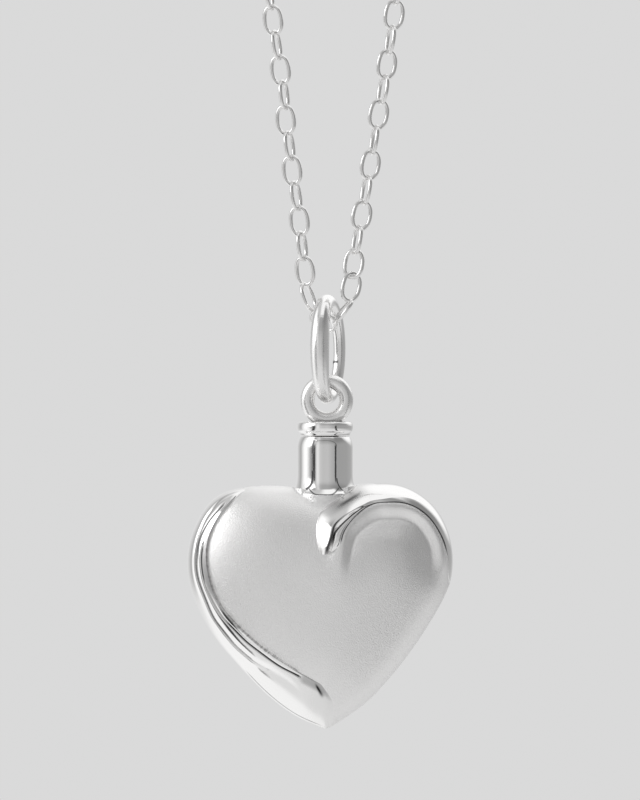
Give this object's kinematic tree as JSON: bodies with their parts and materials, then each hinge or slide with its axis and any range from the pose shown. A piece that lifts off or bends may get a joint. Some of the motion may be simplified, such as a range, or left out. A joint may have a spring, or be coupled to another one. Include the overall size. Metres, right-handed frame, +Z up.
{
  "type": "keepsake urn pendant necklace",
  "caption": "Hollow heart urn pendant in satin and polished silver with raised ribbons, a screw closure, an oval bail ring and a fine cable chain.",
  "frame": {"origin": "top of the chain loop, at the middle of the clasp, where the chain hangs from a hook", "axes": "+Z up; the heart's front faces -Y; +X to the viewer's right; the chain loop lies in the XZ plane"},
  "size_m": [0.0574, 0.007, 0.243],
  "materials": {
    "chain_silver": "polished silver",
    "ring_silver": "polished silver",
    "cap_silver": "polished silver",
    "heart_silver": "satin silver with polished ribbons and neck"
  },
  "bodies": {
    "necklace": {"chain": "chain_silver", "clasp": "ring_silver"},
    "bail": {"bail_ring": "ring_silver"},
    "cap": {"screw_cap": "cap_silver"},
    "urn": {"heart_urn": "heart_silver"}
  },
  "joints": [
    {"name": "bail_swing", "type": "hinge", "parent": "necklace", "child": "bail", "pos_m": [0, 0, -0.20965], "axis": [0.9397, -0.342, 0], "range_deg": [-75, 75]},
    {"name": "pendant_sway", "type": "hinge", "parent": "bail", "child": "cap", "pos_m": [0, 0, -0.21517], "axis": [0.342, 0.9397, 0], "range_deg": [-30, 30]},
    {"name": "urn_unscrew", "type": "slide", "parent": "cap", "child": "urn", "axis": [0, 0, -1], "range_m": [0, 0.005]}
  ]
}
